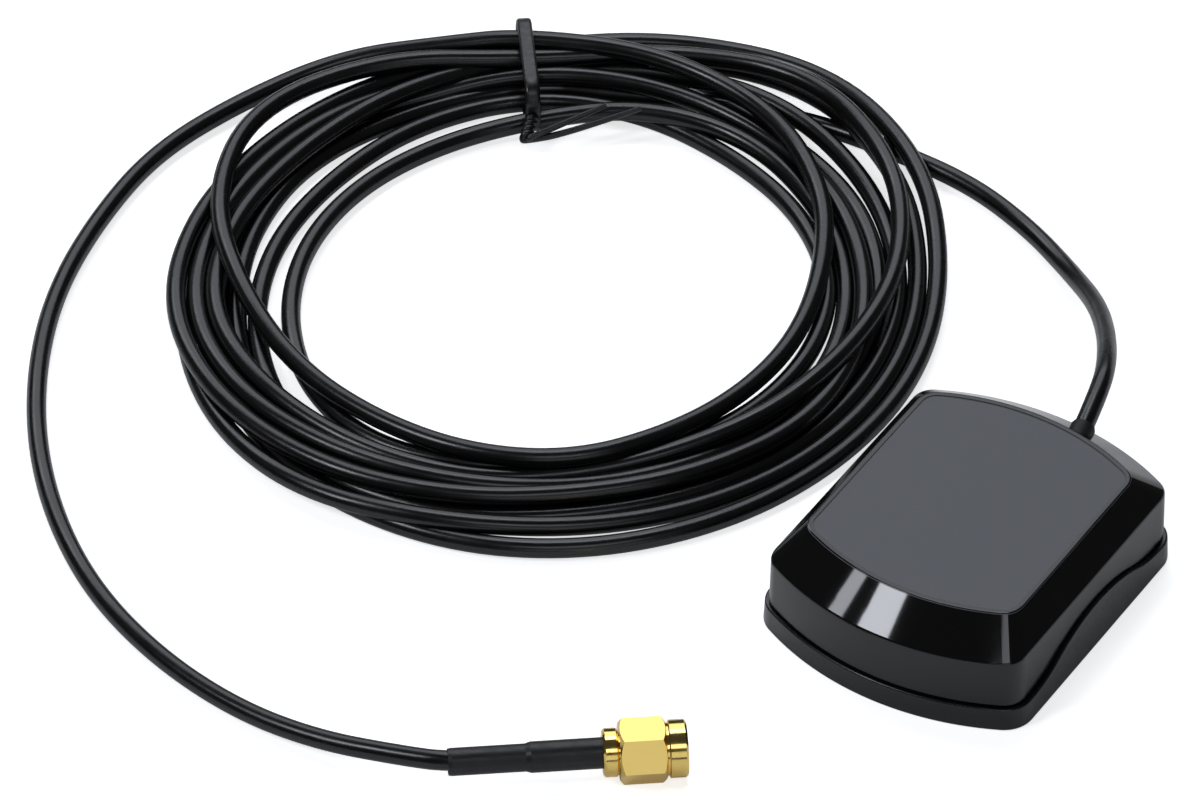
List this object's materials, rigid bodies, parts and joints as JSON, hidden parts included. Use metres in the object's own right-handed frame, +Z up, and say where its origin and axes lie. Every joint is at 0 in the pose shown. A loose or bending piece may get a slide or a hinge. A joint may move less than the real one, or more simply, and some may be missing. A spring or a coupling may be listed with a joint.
{
  "type": "gnss receiver antenna",
  "caption": "Magnetic-mount satellite-positioning antenna puck with a thin coaxial lead, coiled and tied, ending in a threaded coaxial plug.",
  "frame": {"origin": "centre of the puck's base, on the surface that it stands on", "axes": "+Z up; +Y along the puck, towards the end that the lead leaves; +X to the right seen from above with +Y ahead"},
  "size_m": [0.1673, 0.1549, 0.0167],
  "materials": {
    "housing_shell": "black moulded plastic: polished bevel, fine matt texture on the top panel, satin walls",
    "base_shell": "black moulded plastic, satin",
    "seal": "soft black elastomer",
    "pad": "thin matt non-slip pad",
    "screw_steel": "zinc-plated steel",
    "magnet_nickel": "nickel-plated magnet",
    "board_laminate": "green glass laminate",
    "patch_ceramic": "unglazed beige ceramic",
    "patch_silver": "fired silver film",
    "adhesive": "double-sided foam adhesive",
    "tinned_steel": "tinned sheet steel",
    "solder": "bright solder",
    "chip_black": "moulded epoxy",
    "chip_ceramic": "ceramic chip body",
    "cable_jacket": "black PVC, slight sheen",
    "braid_copper": "tinned copper braid",
    "dielectric": "white polyethylene",
    "copper_core": "copper-clad wire",
    "tie_plastic": "plastic-coated wire",
    "shrink_sleeve": "matt heat-shrink tubing",
    "gold_plate": "gold-plated brass, polished",
    "ring_bronze": "phosphor bronze",
    "fluoropolymer": "white fluoropolymer"
  },
  "bodies": {
    "antenna": {"top_cover": "housing_shell", "base_cover": "base_shell", "perimeter_seal": "seal", "cable_gland": "seal", "plug_gasket": "seal", "base_pad": "pad", "base_screws": "screw_steel", "magnet_front": "magnet_nickel", "magnet_rear": "magnet_nickel", "circuit_board": "board_laminate", "ceramic_patch": "patch_ceramic", "patch_electrode": "patch_silver", "patch_ground": "patch_silver", "patch_adhesive": "adhesive", "shield_can": "tinned_steel", "feed_pin": "solder", "solder_joints": "solder", "amplifier_chips": "chip_black", "voltage_regulator": "chip_black", "chip_capacitors": "chip_ceramic", "chip_inductors": "chip_ceramic", "saw_filter": "chip_ceramic", "cable_tail": "cable_jacket", "cable_lead": "cable_jacket", "cable_coil": "cable_jacket", "cable_free_end": "cable_jacket", "plug_jacket": "cable_jacket", "cable_braid": "braid_copper", "plug_braid": "braid_copper", "cable_dielectric": "dielectric", "plug_dielectric": "dielectric", "cable_conductor": "copper_core", "plug_conductor": "copper_core", "twist_tie": "tie_plastic", "heat_shrink_sleeve": "shrink_sleeve", "crimp_ferrule": "gold_plate", "connector_body": "gold_plate", "centre_contact": "gold_plate", "retaining_ring": "ring_bronze", "plug_insulator": "fluoropolymer"},
    "nut": {"coupling_nut": "gold_plate"}
  },
  "joints": [
    {"name": "nut_spin", "type": "hinge", "parent": "antenna", "child": "nut", "pos_m": [-0.01907, -0.05514, 0.004], "axis": [0.7939, 0.6081, 0], "continuous": true}
  ]
}
